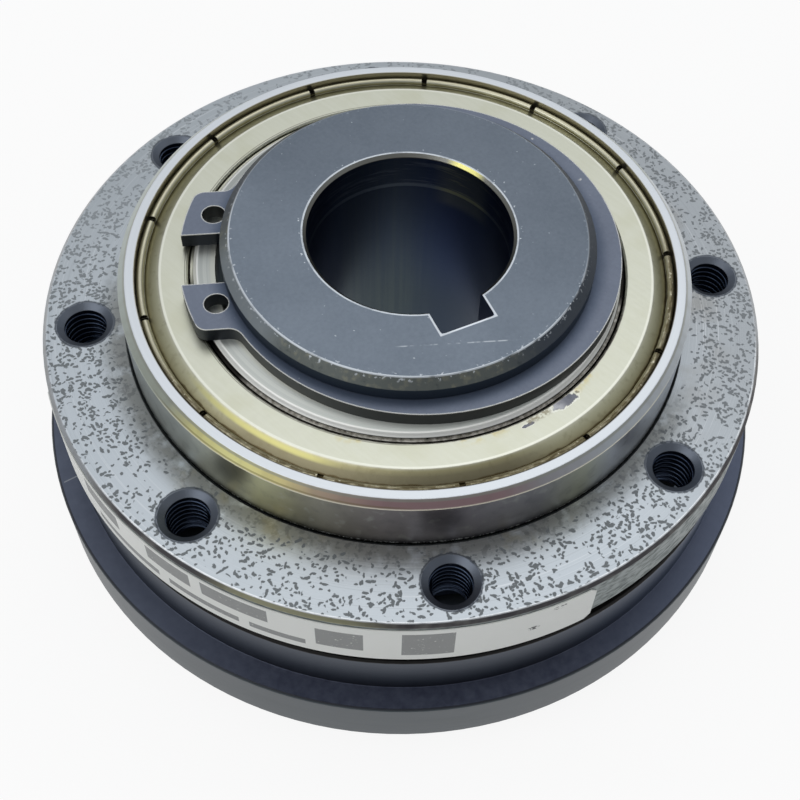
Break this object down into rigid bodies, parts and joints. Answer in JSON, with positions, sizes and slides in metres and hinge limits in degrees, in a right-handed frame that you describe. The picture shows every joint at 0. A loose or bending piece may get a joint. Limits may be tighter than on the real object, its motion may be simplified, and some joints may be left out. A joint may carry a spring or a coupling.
{
  "type": "safety clutch",
  "caption": "Ball-detent torque limiter: keyed hub, sealed bearing, output flange with threaded holes, spring-loaded thrust disc and adjusting nut.",
  "frame": {"origin": "centre of the hub's lower face, on the bore's axis and at the bottom of the part", "axes": "+Z along the bore towards the bearing and the output flange's threaded face; the keyway lies towards -Y"},
  "size_m": [0.0844, 0.0844, 0.04],
  "materials": {
    "phosphated_steel": "dark grey manganese phosphate on turned steel, bright on worn edges",
    "ground_steel": "ground light grey steel with dark etched specks",
    "bearing_steel": "fine ground and polished bearing steel",
    "shield_sheet": "brushed yellowish passivated sheet with oil stains",
    "clip_steel": "blue-grey phosphated spring steel",
    "oxide_steel": "blue-black oxide, satin",
    "spring_steel": "oiled dark spring steel",
    "zinc_steel": "zinc plated",
    "cage_sheet": "pressed sheet",
    "pad_brass": "turned brass",
    "label_film": "satin off-white film with grey print"
  },
  "bodies": {
    "hub_set": {"hub": "phosphated_steel", "bearing_inner_ring": "bearing_steel", "retaining_ring": "clip_steel"},
    "flange_set": {"output_flange": "ground_steel", "bearing_outer_ring": "bearing_steel", "bearing_shield": "shield_sheet", "rating_label": "label_film"},
    "ball_cage": {"bearing_balls": "bearing_steel", "bearing_cage_upper": "cage_sheet", "bearing_cage_lower": "cage_sheet", "bearing_cage_rivets": "cage_sheet"},
    "thrust_set": {"thrust_disc": "oxide_steel", "thrust_race": "bearing_steel", "detent_balls": "bearing_steel"},
    "spring_seat": {"cup_spring_upper": "spring_steel", "cup_spring_lower": "spring_steel", "spring_washer": "zinc_steel"},
    "nut_set": {"adjusting_nut": "phosphated_steel", "lock_screws": "oxide_steel", "lock_pads": "pad_brass"}
  },
  "joints": [
    {"name": "flange_spin", "type": "hinge", "parent": "hub_set", "child": "flange_set", "pos_m": [0, 0, 0.0297], "axis": [0, 0, 1], "continuous": true},
    {"name": "cage_spin", "type": "hinge", "parent": "hub_set", "child": "ball_cage", "pos_m": [0, 0, 0.0297], "axis": [0, 0, 1], "continuous": true},
    {"name": "thrust_slide", "type": "slide", "parent": "hub_set", "child": "thrust_set", "axis": [0, 0, -1], "range_m": [0, 0.0017], "stiffness_N_per_m": 400000, "deforming": ["cup_spring_upper", "cup_spring_lower"]},
    {"name": "nut_travel", "type": "slide", "parent": "hub_set", "child": "spring_seat", "axis": [0, 0, 1], "range_m": [-0.00038, 0.00038]},
    {"name": "nut_turn", "type": "hinge", "parent": "spring_seat", "child": "nut_set", "pos_m": [0, 0, 0.00275], "axis": [0, 0, 1], "range_deg": [-90, 90]}
  ],
  "couplings": [
    {"joint": "nut_travel", "follows": "nut_turn", "m_per_rad": 0.00023873}
  ]
}
